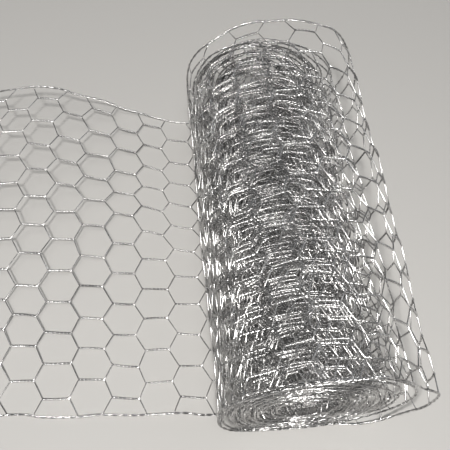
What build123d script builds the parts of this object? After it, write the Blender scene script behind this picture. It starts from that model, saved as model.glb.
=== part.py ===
import os
from math import cos, hypot, pi

from build123d import *

# Wire and hexagonal mesh, the twists running along the netting
wire = 0.9
mesh_width = 25.4
twist_length = 18.1
slant_run = 6.1
selvage_width = 2.6

# Width of the netting, in half meshes from selvage to selvage
half_meshes = 23

# Wound part of the roll, each end ridge nearly four turns wide
roll_radius = 53.0
bore_radius = 16.0
ridge_width = 7.4
ridge_height = 3.5
seat_gap = 0.2

# Unrolled tail, in columns of mesh, with its sideways drift, pull-in and hump
tail_columns = 11
tail_start_from_axis = 15.2
tail_drift = 0.095
tail_pull_in = 0.044
flat_columns = 4
hump_column = 9
hump_height = 32.0
hump_step = 2

# Loose outer turn, in columns of mesh
loose_columns = 11
bend_reach_from_axis = 85.0
top_run_from_axis = 24.0
wrap_gap = 0.3

sheet = 2 * wire
rail = selvage_width / 2
column_pitch = twist_length + slant_run
half_mesh = mesh_width / 2
net_width = half_meshes * half_mesh
tail_run = tail_columns * column_pitch
axis_height = sheet + seat_gap + roll_radius
wrap_radius = (roll_radius + sheet / 2 + wrap_gap) / cos(column_pitch / 2 / roll_radius)
top_height = axis_height + wrap_radius

# Middle of the loose turn's wire: floor, springy right-hand bend, top, down the roll
with BuildLine(Plane.XZ) as loose_path:
    floor_run = Line((tail_start_from_axis, sheet / 2), (tail_start_from_axis + column_pitch, sheet / 2))
    bend = Spline(
        floor_run @ 1,
        (bend_reach_from_axis, (top_height + sheet / 2) / 2),
        (top_run_from_axis, top_height),
        tangents=[(1, 0), (-1, 0)],
    )
    top_run = Line(bend @ 1, (0, top_height))
    CenterArc((0, axis_height), wrap_radius, 90, 120)

# The loose turn bends across the middle of its twists; the origin is under the whole's middle
path_wire = loose_path.wire()
twist_middles = [(column + 0.5) * column_pitch for column in range(loose_columns)]
bend_marks = [0, *twist_middles, loose_columns * column_pitch]
loose_steps = [path_wire.position_at(mark, position_mode=PositionMode.LENGTH) for mark in bend_marks]
right_reach = max(point.X for point in loose_steps) + sheet / 2
roll_x = (tail_run - tail_start_from_axis - right_reach) / 2
near_reach = net_width / 2 + rail
far_reach = tail_drift * tail_run + near_reach * (1 - tail_pull_in)
roll_y = (near_reach - far_reach) / 2
near_edge = roll_y - net_width / 2
tail_right = roll_x + tail_start_from_axis


def cell_points():
    """Corners of one mesh opening, half a wire or a whole twist taken off each side."""
    tip = twist_length / 2 + slant_run - wire / 2 * hypot(slant_run, half_mesh) / half_mesh
    half_height = half_mesh - wire
    corner = tip - half_height * slant_run / half_mesh
    outline = [(tip, 0), (corner, half_height), (-corner, half_height)]
    return outline + [(-x, -y) for x, y in outline]


def half_cell(side):
    """Left or right half of an opening, a little past its middle line."""
    middle = -sheet / 2
    tip, corner, *_ = cell_points()
    outline = [(middle, corner[1]), corner, tip, (corner[0], -corner[1]), (middle, -corner[1])]
    return [(side * x, y) for x, y in outline]


def row_offsets(column):
    """Openings of even columns sit on odd half meshes, and the other way round."""
    first = 1 if column % 2 == 0 else 0
    return [row * half_mesh for row in range(first, half_meshes + 1, 2)]


def tail_spot(distance, across):
    """Plan position on the tail, from its right end and from the near selvage."""
    pull = tail_pull_in * min(1, max(0, distance) / (flat_columns * column_pitch))
    from_middle = (across - net_width / 2) * (1 - pull)
    return (tail_right - distance, roll_y + from_middle + tail_drift * distance)


def tail_lift(distance, across):
    """Height of the tail off the floor, which grows towards the far selvage."""
    rise = max(0, distance / column_pitch - flat_columns) / (hump_column - flat_columns)
    return hump_height * (1 - cos(pi * rise)) / 2 * across / net_width


def normal_step(points, index):
    """Half the thickness, square to the path, lengthened where the path bends."""
    legs = []
    if index > 0:
        legs.append((points[index] - points[index - 1]).normalized())
    if index < len(points) - 1:
        legs.append((points[index + 1] - points[index]).normalized())
    mean = sum(legs, Vector()).normalized()
    reach = sheet / 2 / mean.dot(legs[0])
    return Vector(-mean.Z, 0, mean.X) * reach


def across_plane(offset):
    """Upright plane across the roll's axis, on the floor below it."""
    return Plane((roll_x, roll_y + offset, 0), x_dir=(1, 0, 0), z_dir=(0, -1, 0))


os.makedirs("parts", exist_ok=True)

# Wound netting, with its bore and its turns showing as ridges on both ends
ridges = round((roll_radius - bore_radius) / ridge_width)
half_ridge = (roll_radius - bore_radius) / ridges / 2
far_end = []
for edge in range(2 * ridges + 1):
    level = net_width / 2 - ridge_height * (edge % 2)
    far_end.append((bore_radius + edge * half_ridge, level))
near_end = [(radius, -level) for radius, level in reversed(far_end)]
with BuildPart() as netting_roll:
    with BuildSketch(Plane((roll_x, roll_y, axis_height))):
        with BuildLine():
            Polyline(*far_end, *near_end, close=True)
        make_face()
    revolve(axis=Axis((roll_x, roll_y, axis_height), (0, 1, 0)))
netting_roll.part.label = "netting_roll"
export_step(netting_roll.part, "parts/netting_roll.step")

# Unrolled tail: a sheet, flat and then humped, with its mesh cut straight down
with BuildPart() as tail_netting:
    flat_run = flat_columns * column_pitch
    with BuildSketch():
        right_end = [tail_spot(0, -rail), tail_spot(0, net_width + rail)]
        left_end = [tail_spot(flat_run, net_width + rail), tail_spot(flat_run, -rail)]
        Polygon(*right_end, *left_end, align=None)
    extrude(amount=sheet)
    for column in (*range(flat_columns, tail_columns, hump_step), tail_columns):
        distance = column * column_pitch
        x, near_y = tail_spot(distance, -rail)
        far_y = tail_spot(distance, net_width + rail)[1]
        far_z = tail_lift(distance, net_width)
        underside = [(near_y, 0), (far_y, far_z)]
        top_side = [(far_y, far_z + sheet), (near_y, sheet)]
        with BuildSketch(Plane((x, 0, 0), x_dir=(0, 1, 0), z_dir=(1, 0, 0))):
            with BuildLine():
                Polyline(*underside, *top_side, close=True)
            make_face()
    loft(ruled=True)
    with BuildSketch(Plane.XY.offset(-sheet)):
        for column in range(-1, tail_columns + 1):
            middle = (column + 0.5) * column_pitch
            openings = []
            for row in row_offsets(column):
                corners = [(x, min(max(row + y, rail), net_width - rail)) for x, y in cell_points()]
                openings.append([tail_spot(middle - x, across) for x, across in corners])
            add([Polygon(*spots, align=None, mode=Mode.PRIVATE) for spots in openings])
    extrude(amount=hump_height + 3 * sheet, mode=Mode.SUBTRACT)
tail_netting.part.label = "tail_netting"
export_step(tail_netting.part, "parts/tail_netting.step")

# Loose outer turn, a flat panel from twist to twist, from the tail over the top of the roll
with BuildPart() as loose_turn:
    with BuildSketch(across_plane(0)) as path_section:
        with BuildLine():
            steps = [normal_step(loose_steps, index) for index in range(len(loose_steps))]
            outer = [point - step for point, step in zip(loose_steps, steps)]
            inner = [point + step for point, step in zip(loose_steps, steps)]
            Polyline(*[(point.X, point.Z) for point in outer + inner[::-1]], close=True)
        make_face()
    extrude(amount=net_width / 2, both=True)
    for column in range(loose_columns + 1):
        start, end = [point + Vector(roll_x, near_edge, 0) for point in loose_steps[column : column + 2]]
        along = end - start
        fit = along.length / (bend_marks[column + 1] - bend_marks[column])
        with BuildSketch(Plane(end, x_dir=along, z_dir=along.cross(Vector(0, 1, 0)))):
            for side, beside in ((-1, column), (1, column - 1)):
                middle = (beside + 0.5) * column_pitch - bend_marks[column + 1]
                outline = [((middle + x) * fit, y) for x, y in half_cell(side)]
                with Locations(*[(0, row) for row in row_offsets(beside + 1)]):
                    Polygon(*outline, align=None)
        extrude(amount=2 * sheet, both=True, mode=Mode.SUBTRACT)
    for side in (-1, 1):
        with BuildSketch(across_plane(side * net_width / 2)):
            add(path_section.sketch_local)
        extrude(amount=rail, both=True)
loose_turn.part.label = "loose_turn"
export_step(loose_turn.part, "parts/loose_turn.step")
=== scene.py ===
import math

import bmesh
import bpy
import numpy as np
from mathutils import Matrix, Vector


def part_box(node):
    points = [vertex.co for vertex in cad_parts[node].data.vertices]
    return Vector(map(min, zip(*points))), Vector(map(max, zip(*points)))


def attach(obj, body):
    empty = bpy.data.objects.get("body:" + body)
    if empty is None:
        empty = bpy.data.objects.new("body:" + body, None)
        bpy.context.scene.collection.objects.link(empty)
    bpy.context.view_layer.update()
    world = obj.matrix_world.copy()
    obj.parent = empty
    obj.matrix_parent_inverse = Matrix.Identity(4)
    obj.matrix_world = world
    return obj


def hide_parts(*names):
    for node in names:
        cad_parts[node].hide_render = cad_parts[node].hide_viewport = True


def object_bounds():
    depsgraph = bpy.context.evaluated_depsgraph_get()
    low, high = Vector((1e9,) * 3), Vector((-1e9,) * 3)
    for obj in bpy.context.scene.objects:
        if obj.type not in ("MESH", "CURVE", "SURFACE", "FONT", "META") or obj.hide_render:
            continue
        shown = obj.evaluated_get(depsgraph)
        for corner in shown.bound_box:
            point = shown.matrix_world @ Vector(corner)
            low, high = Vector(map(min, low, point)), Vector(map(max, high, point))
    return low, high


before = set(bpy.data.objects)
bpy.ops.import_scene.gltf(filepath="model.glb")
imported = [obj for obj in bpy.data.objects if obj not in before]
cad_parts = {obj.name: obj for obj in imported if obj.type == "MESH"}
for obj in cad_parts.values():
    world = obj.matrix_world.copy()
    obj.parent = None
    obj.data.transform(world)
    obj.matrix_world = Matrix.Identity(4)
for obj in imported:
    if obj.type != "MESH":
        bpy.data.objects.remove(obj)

cadLow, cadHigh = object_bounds()
rollLow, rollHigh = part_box("netting_roll")
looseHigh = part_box("loose_turn")[1]
rollX = (rollLow[0] + rollHigh[0]) / 2
rollY = (rollLow[1] + rollHigh[1]) / 2
rollRadius = (rollHigh[0] - rollLow[0]) / 2
axisHeight = (rollLow[2] + rollHigh[2]) / 2
print("frame read, roll at", round(rollX, 4), round(rollY, 4), "radius", round(rollRadius, 4))

# The netting, lengths in metres: u runs along the strip, v across it, w out of it
netting = {
    "wire": 0.0009,
    "meshWidth": 0.0254,
    "twistLength": 0.0181,
    "slantRun": 0.0061,
    "slantEase": 0.0009,  # short bend at each end of a slant
    "halfMeshes": 23,  # from selvage to selvage
    "halfTurns": 7,  # of the two wires in a twist
    "strandGap": 0.00004,  # between those two wires
    "selvageTurn": 0.0121,
    "selvageSteps": 8,
    "selvageTrim": 1.5,  # wire radii of mesh left outside the selvage line
    "endSides": 12,  # most edges round a cut wire's open end
}
columnPitch = netting["twistLength"] + netting["slantRun"]
halfMesh = netting["meshWidth"] / 2
netWidth = netting["halfMeshes"] * halfMesh
strand = netting["wire"] / 2
offAxis = strand + netting["strandGap"] / 2

# Unrolled tail: "out" counts columns from the roll, "row" is 0 at the near selvage and 1 at the far one
tail = {
    "columns": 11,
    "pastAxis": 0.0152,
    "drift": 0.095,
    "pullIn": 0.041,
    "flatColumns": 4,
    "humpColumn": 9,
    "humpHeight": 0.032,
    "humpPull": {"by": 0.013, "out": 3.5, "outOver": 5, "most": 1.2},
    "sway": {"by": 0.0075, "out": 5.3, "outOver": 2, "row": 0.57, "rowOver": 0.13},
    "farPinch": {"by": 0.0095, "out": 2.9, "outOver": 1.4, "row": 0.42, "rowOver": 0.25},
    "nearPinch": {"by": 0.0050, "out": 2.4, "outOver": 1.3},
    "sides": 6,
    "steps": 28,
}

# Loose outer turn: springy bend at the right, over the top and down to the roll
loose = {
    "columns": 11,
    "bendSteps": 24,  # in each quarter of the bend
    "topRun": 0.024,
    "closeUp": math.radians(160),  # past the top, where it has closed up to the roll
    "droop": {"by": 0.17, "start": 0.035, "over": 0.03},
    "sides": 6,
    "steps": 28,
}

# Wound part: slumped, squarer at its lower left, bulging at the right, its turns bunched here and there
wound = {
    "turnPitch": 0.0020,
    "innerRadius": 0.0198,
    "turnStep": math.radians(3),
    "spread": 1.06,
    "sag": 0.943,
    "sagOver": math.radians(30),
    "corner": 4.0,  # 2 is round
    "innerCorner": 2.3,
    "cornerFade": 0.75,
    "bunching": 0.0012,
    "bunchTurns": 4.7,
    "bulge": 0.015,
    "bulgeTurn": 0.75,
    "bulgeFade": 0.60,
    "bulgePower": 1.5,
    "necking": {"by": 0.055, "start": 0.24, "over": 0.16},  # start is past the tail
    "setBack": 0.0050,
    "stagger": 0.0044,
    "freeHeight": 0.09,  # above this the floor no longer holds a turn's end
    "heldShare": 0.1,
    "pieces": 4,
    "sides": 4,
    "steps": 18,
}

floorLevel = 2 * strand
looseTop = looseHigh[2] - 2 * strand
looseReach = looseHigh[0] - rollX - 2 * strand
wrapRadius = looseTop - axisHeight
outerRadius = rollRadius - 2 * strand
tailRun = tail["columns"] * columnPitch
woundStart = tailRun + loose["columns"] * columnPitch


# Place of the strip in the wound part, from its turn past the top and its neat radius
def woundPoint(turn, radius):
    turns = turn / (2 * math.pi)
    onLeft, onTop = math.sin(turn), math.cos(turn)
    fade = wound["bulgeFade"] ** (turns - wound["bulgeTurn"])
    bulge = wound["bulge"] * fade * max(0, -onLeft) ** wound["bulgePower"]
    if onLeft > 0 > onTop:
        squareness = (wound["corner"] - wound["innerCorner"]) * wound["cornerFade"] ** turns
        corner = wound["innerCorner"] + squareness
        square = (onLeft ** corner + (-onTop) ** corner) ** (-1 / corner)
        onLeft, onTop = onLeft * square, onTop * square
    reach = radius - wound["bunching"] * (1 - math.cos(2 * math.pi * turns / wound["bunchTurns"]))
    outerness = min(1, (radius - wound["innerRadius"]) / (outerRadius - wound["innerRadius"]))
    sag = 1 - (1 - wound["sag"]) * min(1, turn / wound["sagOver"]) * outerness
    height = floorLevel + (axisHeight + reach * onTop - floorLevel) * sag
    return (-reach * onLeft * wound["spread"] + bulge, height)


# Middle line of the strip, seen along the roll: tail, bend, over the top, then wound inwards
def stripLine():
    leadIn = 2 * columnPitch
    bendStart = tail["pastAxis"] + columnPitch
    middle = (looseTop + floorLevel) / 2
    lift = (looseTop - floorLevel) / 2
    points = [(tail["pastAxis"] - tailRun - leadIn, floorLevel), (bendStart, floorLevel)]
    for centre, quarter in ((bendStart, -0.5), (loose["topRun"], 0)):
        for step in range(1, loose["bendSteps"] + 1):
            turn = math.pi * (quarter + step / loose["bendSteps"] / 2)
            points.append((centre + (looseReach - centre) * math.cos(turn), middle + lift * math.sin(turn)))
    turn = 0
    radius = wrapRadius
    while radius > wound["innerRadius"]:
        points.append(woundPoint(turn, radius))
        turn += wound["turnStep"]
        if turn < loose["closeUp"]:
            radius = wrapRadius - (wrapRadius - outerRadius) * turn / loose["closeUp"]
        else:
            radius -= wound["turnPitch"] * wound["turnStep"] / (2 * math.pi)
    line = np.array(points)
    length = np.concatenate([[0], np.cumsum(np.hypot(*np.diff(line, axis=0).T))])
    return line, length - leadIn


line, lineLength = stripLine()
tangent = np.gradient(line, axis=0)
tangent /= np.hypot(tangent[:, 0], tangent[:, 1])[:, None]
woundColumns = int((lineLength[-1] - woundStart) / columnPitch)
print("strip", round(float(lineLength[-1]), 3), "m, wound columns", woundColumns)

# How far the netting strays from its neat place: on the tail, in the loose turn and in the roll
straying = {
    "along": {"by": (0.0014, 0.0022, 0.0022), "seed": 3, "waves": (0.08, 0.09)},
    "across": {"by": (0.0013, 0.0009, 0.0006), "seed": 5, "waves": (0.09, 0.10)},
    "outward": {"by": (0, 0.0012, 0.0013), "seed": 11, "waves": (0.08, 0.12)},
    "stagger": {"seed": 7, "waves": (0.6, 1.0)},
    "sines": 6,
    "limit": 2.2,
    "cutEnd": 0.03,  # over this the cut end settles to its neat place
    "floorHold": 0.03,  # up to this height the floor holds the netting
    "bendBlend": {"before": 0.02, "over": 0.06},
    "rollBlend": 0.12,
}


# Smooth seeded wander over the strip, between -1 and 1
def wander(way, u, v):
    dice = np.random.default_rng(straying[way]["seed"])
    longWave, wideWave = straying[way]["waves"]
    total = np.zeros_like(u)
    for sine in range(straying["sines"]):
        along = dice.normal() / longWave
        across = dice.normal() / wideWave
        total += np.sin(2 * math.pi * (u * along + v * across + dice.random()))
    return np.tanh(total / straying["limit"])


def ramp(value, start, over, top=1):
    return np.clip((value - start) / over, 0, top)


def bell(value, middle, over):
    return np.exp(-((value - middle) / over) ** 2)


# Flat strip to its place: u, v, w become x, y, z
def layOut(u, v, w):
    blend = straying["bendBlend"]
    inRoll = ramp(u, woundStart, straying["rollBlend"])
    inLoose = ramp(u, tailRun - blend["before"], blend["over"]) - inRoll
    onTail = 1 - inLoose - inRoll
    along, across, outward = (
        onTail * straying[way]["by"][0] + inLoose * straying[way]["by"][1] + inRoll * straying[way]["by"][2]
        for way in ("along", "across", "outward")
    )
    along *= ramp(u, 0, straying["cutEnd"])
    shiftedU = u + along * wander("along", u, v)
    x, z = (np.interp(shiftedU, lineLength, line[:, axis]) for axis in (0, 1))
    tangentX, tangentZ = (np.interp(shiftedU, lineLength, tangent[:, axis]) for axis in (0, 1))
    shiftedW = w + outward * ramp(z, 0, straying["floorHold"]) * (wander("outward", u, v) + inLoose)

    distance = np.maximum(0, tailRun - u)
    pullIn = tail["pullIn"] * ramp(distance, 0, tail["flatColumns"] * columnPitch)
    necking = wound["necking"]
    necked = ramp(u, tailRun + necking["start"], necking["over"])
    necked = necking["by"] * necked * necked * (3 - 2 * necked)
    fromMiddle = (v - netWidth / 2) * (1 - pullIn) - necked * v
    y = rollY + fromMiddle + tail["drift"] * distance

    out, far = distance / columnPitch, v / netWidth
    nearCubed = np.clip(1 - far, 0, 1) ** 3
    pull, sway, farPinch, nearPinch = (tail[key] for key in ("humpPull", "sway", "farPinch", "nearPinch"))
    droop = loose["droop"]
    x += pull["by"] * ramp(out, pull["out"], pull["outOver"], pull["most"]) * far ** 3
    y += sway["by"] * bell(out, sway["out"], sway["outOver"]) * bell(far, sway["row"], sway["rowOver"])
    farShare = ramp(far, farPinch["row"], farPinch["rowOver"])
    y -= farPinch["by"] * bell(out, farPinch["out"], farPinch["outOver"]) * farShare
    y += nearPinch["by"] * bell(out, nearPinch["out"], nearPinch["outOver"]) * nearCubed
    z *= 1 - droop["by"] * inLoose * ramp(x, droop["start"], droop["over"]) * nearCubed
    y += across * (wander("across", u, v) - (2 * far - 1))

    depth = ramp(u, woundStart, lineLength[-1] - woundStart)
    stagger = wound["stagger"] * (1 + wander("stagger", u, 0 * v)) / 2
    free = np.clip(z / wound["freeHeight"], wound["heldShare"], 1)
    y += inRoll * (wound["setBack"] * (1 - depth) ** 2 + stagger) * free

    rise = np.maximum(0, out - tail["flatColumns"]) / (tail["humpColumn"] - tail["flatColumns"])
    lift = tail["humpHeight"] * (1 - np.cos(math.pi * rise)) / 2 * (1 - np.cos(math.pi * far)) / 2
    return np.stack([rollX + x - tangentZ * shiftedW, y, z + tangentX * shiftedW + lift], 1)


# Ring of one wire, facing along the strip
def wireRing(bm, sides, centre):
    place = Matrix.Translation(centre) @ Matrix.Rotation(math.pi / 2, 4, "Y")
    ring = bmesh.ops.create_circle(bm, segments=sides, radius=strand, matrix=place)["verts"]
    return ring, [edge for edge in bm.edges if edge.verts[0] in ring]


# Carries a wire on by one length, turning its ring in the plane of the netting
def pushRing(bm, edges, move, turn, centre):
    made = bmesh.ops.extrude_edge_only(bm, edges=edges)["geom"]
    verts = [item for item in made if isinstance(item, bmesh.types.BMVert)]
    bmesh.ops.rotate(bm, verts=verts, cent=centre, matrix=Matrix.Rotation(turn, 3, "Z"))
    bmesh.ops.translate(bm, verts=verts, vec=move)
    grown = set(verts)
    newEdges = [item for item in made if isinstance(item, bmesh.types.BMEdge) and set(item.verts) <= grown]
    return newEdges, centre + move


# Two neighbouring twists with the single wires that leave them, the pattern's repeat
def twistUnit(sides, steps):
    bm = bmesh.new()
    stepAlong = Vector((netting["twistLength"] / steps, 0, 0))
    slant = Vector((netting["slantRun"], halfMesh - 2 * offAxis, 0))
    for column in (0, 1):
        axis = Vector((column * columnPitch, column * halfMesh, 0))
        for side in (1, -1):
            ring, edges = wireRing(bm, sides, axis + Vector((0, side * offAxis, 0)))
            spun = bmesh.ops.spin(
                bm, geom=ring + edges, cent=axis, axis=(1, 0, 0), dvec=stepAlong,
                angle=math.pi * netting["halfTurns"], steps=steps,
            )["geom_last"]
            edges = [item for item in spun if isinstance(item, bmesh.types.BMEdge)]
            leaving = side * (-1) ** netting["halfTurns"]
            centre = axis + Vector((netting["twistLength"], leaving * offAxis, 0))
            lean = Vector((slant.x, leaving * slant.y, 0))
            turn = math.atan2(lean.y, lean.x)
            ease = lean.normalized() * netting["slantEase"]
            edges, centre = pushRing(bm, edges, ease, turn, centre)
            edges, centre = pushRing(bm, edges, lean - 2 * ease, 0, centre)
            pushRing(bm, edges, ease, -turn, centre)
    return bm


# One turn of the two-strand selvage
def selvageUnit(sides):
    bm = bmesh.new()
    steps = netting["selvageSteps"]
    for side in (1, -1):
        ring, edges = wireRing(bm, sides, Vector((0, side * offAxis, 0)))
        bmesh.ops.spin(
            bm, geom=ring + edges, cent=(0, 0, 0), axis=(1, 0, 0),
            dvec=(netting["selvageTurn"] / steps, 0, 0), angle=-2 * math.pi, steps=steps,
        )
    return bm


# Repeats a unit along and across the strip with Array modifiers, and welds it into one mesh
def repeated(bm, counts, moves, start):
    mesh = bpy.data.meshes.new("unit")
    bm.to_mesh(mesh)
    unit = bpy.data.objects.new("unit", mesh)
    bpy.context.scene.collection.objects.link(unit)
    for count, move in zip(counts, moves):
        array = unit.modifiers.new("repeat", "ARRAY")
        array.count = count
        array.use_relative_offset = False
        array.use_constant_offset = True
        array.constant_offset_displace = move
    bpy.context.view_layer.update()
    grown = bpy.data.meshes.new_from_object(unit.evaluated_get(bpy.context.evaluated_depsgraph_get()))
    bpy.data.objects.remove(unit)
    bm.clear()
    bm.from_mesh(grown)
    bmesh.ops.remove_doubles(bm, verts=bm.verts[:], dist=netting["strandGap"] / 2)
    bm.to_mesh(grown)
    bm.free()
    grown.transform(Matrix.Translation(start))
    return grown


def cutAway(bm, place, outwards):
    everything = bm.verts[:] + bm.edges[:] + bm.faces[:]
    bmesh.ops.bisect_plane(bm, geom=everything, plane_co=place, plane_no=outwards, clear_outer=True)


# Normals outwards, wire by wire: one whose volume comes out negative is turned round
def faceOutwards(bm):
    bmesh.ops.recalc_face_normals(bm, faces=bm.faces[:])
    unseen = set(bm.faces)
    while unseen:
        border = [unseen.pop()]
        start = border[0].calc_center_median()
        wireFaces = []
        volume = 0
        while border:
            face = border.pop()
            wireFaces.append(face)
            volume += face.calc_area() * face.normal.dot(face.calc_center_median() - start)
            beside = {near for edge in face.edges for near in edge.link_faces} & unseen
            unseen -= beside
            border.extend(beside)
        if volume < 0:
            bmesh.ops.reverse_faces(bm, faces=wireFaces)


# Flat netting between two columns, with its selvages, each wire closed at its cut ends
def flatNetting(firstColumn, columns, sides, steps):
    bm = bmesh.new()
    firstEven = firstColumn - firstColumn % 2
    pairs = (columns + firstColumn % 2 + 1) // 2 + 2
    rows = (netting["halfMeshes"] + 1) // 2
    start = (firstEven - 2 + 0.5) * columnPitch - netting["twistLength"] / 2
    moves = ((0, 2 * halfMesh, 0), (2 * columnPitch, 0, 0))
    bm.from_mesh(repeated(twistUnit(sides, steps), (rows, pairs), moves, (start, 0, 0)))
    for across, outwards in ((0, -1), (netWidth, 1)):
        trim = across + outwards * strand * netting["selvageTrim"]
        cutAway(bm, (0, trim, 0), (0, outwards, 0))

    # Selvages reach past both ends, and start half a step off so that no ring lies on a cut
    selvageTurn = netting["selvageTurn"]
    spareTurns = 2
    turns = int(columns * columnPitch / selvageTurn) + 2 * spareTurns
    start = firstColumn * columnPitch - spareTurns * selvageTurn - selvageTurn / netting["selvageSteps"] / 2
    for across in (0, netWidth):
        bm.from_mesh(repeated(selvageUnit(sides), (turns,), ((selvageTurn, 0, 0),), (start, across, 0)))

    for column, outwards in ((firstColumn, -1), (firstColumn + columns, 1)):
        cutAway(bm, (column * columnPitch, 0, 0), (outwards, 0, 0))
    openEnds = [edge for edge in bm.edges if edge.is_boundary]
    bmesh.ops.holes_fill(bm, edges=openEnds, sides=netting["endSides"])
    faceOutwards(bm)
    return bm


# A stretch of netting from one column on, laid in its place
def nettingPiece(name, firstColumn, columns, sides, steps, material, nodes):
    bm = flatNetting(firstColumn, columns, sides, steps)
    for face in bm.faces:
        face.smooth = True
    mesh = bpy.data.meshes.new(name)
    bm.to_mesh(mesh)
    bm.free()
    flat = np.zeros(len(mesh.vertices) * 3)
    mesh.vertices.foreach_get("co", flat)
    laid = np.clip(layOut(*flat.reshape(-1, 3).T), cadLow, cadHigh)
    mesh.vertices.foreach_set("co", laid.ravel())
    mesh.update()
    piece = bpy.data.objects.new(name, mesh)
    bpy.context.scene.collection.objects.link(piece)
    mesh.materials.append(material)
    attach(piece, "root")
    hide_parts(*nodes)
    mesh.calc_loop_triangles()
    low, high = laid.min(0).round(4), laid.max(0).round(4)
    print(name, "triangles", len(mesh.loop_triangles), "low", low, "high", high)


# Wraps a socket so that shader maths reads as plain expressions
class Field:
    def __init__(self, tree, socket):
        self.tree = tree
        self.socket = socket

    def maths(self, operation, first, second):
        settings = {"operation": operation}
        return addNode(self.tree, "ShaderNodeMath", settings, first=first, second=second)

    def __add__(self, other):
        return self.maths("ADD", self, other)

    def __radd__(self, other):
        return self.maths("ADD", other, self)

    def __sub__(self, other):
        return self.maths("SUBTRACT", self, other)

    def __rsub__(self, other):
        return self.maths("SUBTRACT", other, self)

    def __mul__(self, other):
        return self.maths("MULTIPLY", self, other)

    def __rmul__(self, other):
        return self.maths("MULTIPLY", other, self)


# One node with its settings, its sockets set or linked by name, and one of its outputs as a Field
def addNode(tree, kind, settings=None, output=0, **inputs):
    node = tree.nodes.new(kind)
    for key, value in (settings or {}).items():
        if key == "stops":
            for element, (position, colour) in zip(node.color_ramp.elements, value):
                element.position, element.color = position, colour
        else:
            setattr(node, key, value)
    places = {"first": 0, "second": 1}
    for key, value in inputs.items():
        socket = node.inputs[places.get(key, key)]
        if isinstance(value, Field):
            tree.links.new(value.socket, socket)
        else:
            socket.default_value = value
    return Field(tree, node.outputs[output])


zinc = {
    # The wound netting's tone of 0.95 makes the same wire darker than on the tail: painted shade for the
    # roll's turns
    "tone": {"galvanizedWire": 1.0, "shadedWoundWire": 0.95},
    "bright": (0.91, 0.905, 0.90),
    "dull": (0.462, 0.458, 0.458),
    "patchScale": 45,
    "patchDetail": 3.0,
    "patchStops": (0.35, 0.62),  # dull below the first, bright above the second
    "grainScale": 900,
    "grainDetail": 2.0,
    "roughness": 0.25,
    "patchRoughness": 0.14,
    "grainRoughness": 0.12,
    "bumpStrength": 0.2,
    "bumpDepth": 0.0001,
}


# Bright drawn zinc: dulled in patches, with a fine grain that breaks the glints
def zincMaterial(name):
    material = bpy.data.materials.new(name)
    material.use_nodes = True
    tree = material.node_tree
    tree.nodes.clear()
    where = addNode(tree, "ShaderNodeTexCoord", output=3)
    patch = addNode(
        tree, "ShaderNodeTexNoise", Vector=where, Scale=zinc["patchScale"], Detail=zinc["patchDetail"],
    )
    grain = addNode(
        tree, "ShaderNodeTexNoise", Vector=where, Scale=zinc["grainScale"], Detail=zinc["grainDetail"],
    )
    # The tone scales both zinc colours; where it is below 1 it is painted shade
    tone = zinc["tone"][name]
    dull, bright = ([channel * tone for channel in zinc[key]] + [1] for key in ("dull", "bright"))
    stops = list(zip(zinc["patchStops"], (dull, bright)))
    colour = addNode(tree, "ShaderNodeValToRGB", {"stops": stops}, Fac=patch)
    uneven = (patch - 0.5) * zinc["patchRoughness"]
    roughness = zinc["roughness"] + uneven + (grain - 0.5) * zinc["grainRoughness"]
    bump = addNode(
        tree, "ShaderNodeBump", Strength=zinc["bumpStrength"], Distance=zinc["bumpDepth"], Height=grain,
    )
    shader = tree.nodes.new("ShaderNodeBsdfPrincipled")
    shader.inputs["Metallic"].default_value = 1
    tree.links.new(colour.socket, shader.inputs["Base Color"])
    tree.links.new(roughness.socket, shader.inputs["Roughness"])
    tree.links.new(bump.socket, shader.inputs["Normal"])
    output = tree.nodes.new("ShaderNodeOutputMaterial")
    tree.links.new(shader.outputs[0], output.inputs[0])
    return material


# Camera, worked out from the twists that lie on the floor: angles in degrees, lengths in metres
shot = {
    "focal": 600,  # in pixels, for the picture width below
    "pictureWidth": 450,
    "sensorWidth": 36,
    "elevation": 58.58,
    "azimuth": -8.74,
    "roll": 3.75,
    "target": (rollX - 0.03344, rollY + 0.02428, 0),
    "distance": 0.5027,
    "clipStart": 0.01,
}


def placeCamera():
    elevation, azimuth, roll = (math.radians(shot[key]) for key in ("elevation", "azimuth", "roll"))
    back = Vector((
        math.sin(azimuth) * math.cos(elevation),
        -math.cos(azimuth) * math.cos(elevation),
        math.sin(elevation),
    ))
    right = Vector((math.cos(azimuth), math.sin(azimuth), 0))
    up = back.cross(right)
    turnedRight = right * math.cos(roll) + up * math.sin(roll)
    turnedUp = up * math.cos(roll) - right * math.sin(roll)
    data = bpy.data.cameras.new("camera")
    data.sensor_width = shot["sensorWidth"]
    data.lens = shot["focal"] / shot["pictureWidth"] * shot["sensorWidth"]
    data.clip_start = shot["clipStart"]
    camera = bpy.data.objects.new("camera", data)
    pose = Matrix((turnedRight, turnedUp, back)).transposed().to_4x4()
    pose.translation = Vector(shot["target"]) + back * shot["distance"]
    camera.matrix_world = pose
    bpy.context.scene.collection.objects.link(camera)
    bpy.context.scene.camera = camera
    print("camera placed")


# Plain pale floor, a soft lamp near the camera and two wide suns
studio = {
    "floor": (0.42, 0.413, 0.402, 1),
    "floorSize": 6,
    "floorRoughness": 0.9,
    "horizon": (0.36, 0.36, 0.36, 1),
    "sky": (0.05, 0.053, 0.056, 1),
    "skyStops": (0.05, 0.5),
    "warm": (1, 0.98, 0.95),
    "cool": (0.93, 0.96, 1),
    "lamp": {"from": (-0.03, -0.55, 1.03), "to": (0.04, 0, 0.03), "size": 0.10, "power": 12.5},
    "suns": [
        {"from": (-0.05, -0.30, 0.90), "strength": 1.4, "angle": 30, "colour": "warm"},
        {"from": (0.7, 0.3, 1.0), "strength": 0.25, "angle": 40, "colour": "cool"},
    ],
}


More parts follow.
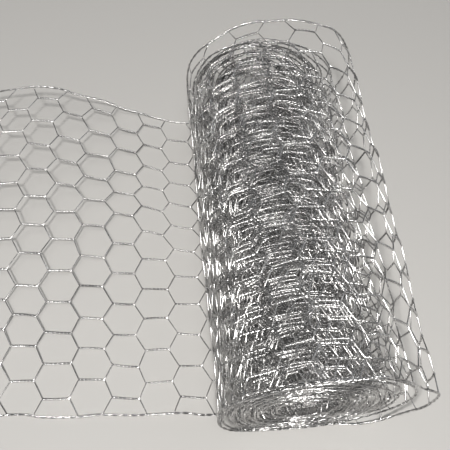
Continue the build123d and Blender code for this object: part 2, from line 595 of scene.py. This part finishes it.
def layFloor():
    bm = bmesh.new()
    bmesh.ops.create_grid(bm, x_segments=1, y_segments=1, size=studio["floorSize"])
    mesh = bpy.data.meshes.new("floor")
    bm.to_mesh(mesh)
    bm.free()
    floor = bpy.data.objects.new("floor", mesh)
    bpy.context.scene.collection.objects.link(floor)
    material = bpy.data.materials.new("floor")
    material.use_nodes = True
    shader = material.node_tree.nodes["Principled BSDF"]
    shader.inputs["Base Color"].default_value = studio["floor"]
    shader.inputs["Roughness"].default_value = studio["floorRoughness"]
    mesh.materials.append(material)


# Sky that darkens from the horizon up
def hangSky():
    world = bpy.data.worlds.new("studio")
    bpy.context.scene.world = world
    world.use_nodes = True
    tree = world.node_tree
    where = addNode(tree, "ShaderNodeTexCoord")
    height = addNode(tree, "ShaderNodeSeparateXYZ", output=2, Vector=where)
    stops = list(zip(studio["skyStops"], (studio["horizon"], studio["sky"])))
    colour = addNode(tree, "ShaderNodeValToRGB", {"stops": stops}, Fac=height)
    tree.links.new(colour.socket, tree.nodes["Background"].inputs[0])


# Adds a light of its kind, shining from one point towards another
def addLight(name, kind, energy, colour, start, end=(0, 0, 0)):
    light = bpy.data.lights.new(name, kind)
    light.energy = energy
    light.color = colour
    holder = bpy.data.objects.new(name, light)
    holder.rotation_euler = (Vector(start) - Vector(end)).to_track_quat("Z", "Y").to_euler()
    bpy.context.scene.collection.objects.link(holder)
    return holder


def buildStudio():
    layFloor()
    hangSky()
    lamp = studio["lamp"]
    holder = addLight("lamp", "AREA", lamp["power"], studio["warm"], lamp["from"], lamp["to"])
    holder.location = lamp["from"]
    holder.visible_camera = False
    holder.data.size = lamp["size"]
    for sun in studio["suns"]:
        holder = addLight("sun", "SUN", sun["strength"], studio[sun["colour"]], sun["from"])
        holder.data.angle = math.radians(sun["angle"])
    print("studio built")


bpy.context.scene.view_settings.view_transform = "Standard"
placeCamera()
buildStudio()

galvanized = zincMaterial("galvanizedWire")
# Second copy of the same zinc, painted darker for the wound turns: painted shade
shadedWoundZinc = zincMaterial("shadedWoundWire")
print("zinc mixed")
nettingPiece(
    "tailNetting", 0, tail["columns"], tail["sides"], tail["steps"],
    galvanized, ["tail_netting"],
)
nettingPiece(
    "looseTurn", tail["columns"], loose["columns"], loose["sides"], loose["steps"],
    galvanized, ["loose_turn"],
)
firstWound = tail["columns"] + loose["columns"]
ends = [firstWound + round(woundColumns * share / wound["pieces"]) for share in range(wound["pieces"] + 1)]
for index, (first, last) in enumerate(zip(ends[:-1], ends[1:])):
    nettingPiece(
        "woundNetting%d" % (index + 1), first, last - first, wound["sides"], wound["steps"],
        shadedWoundZinc, ["netting_roll"],
    )
print("netting laid")
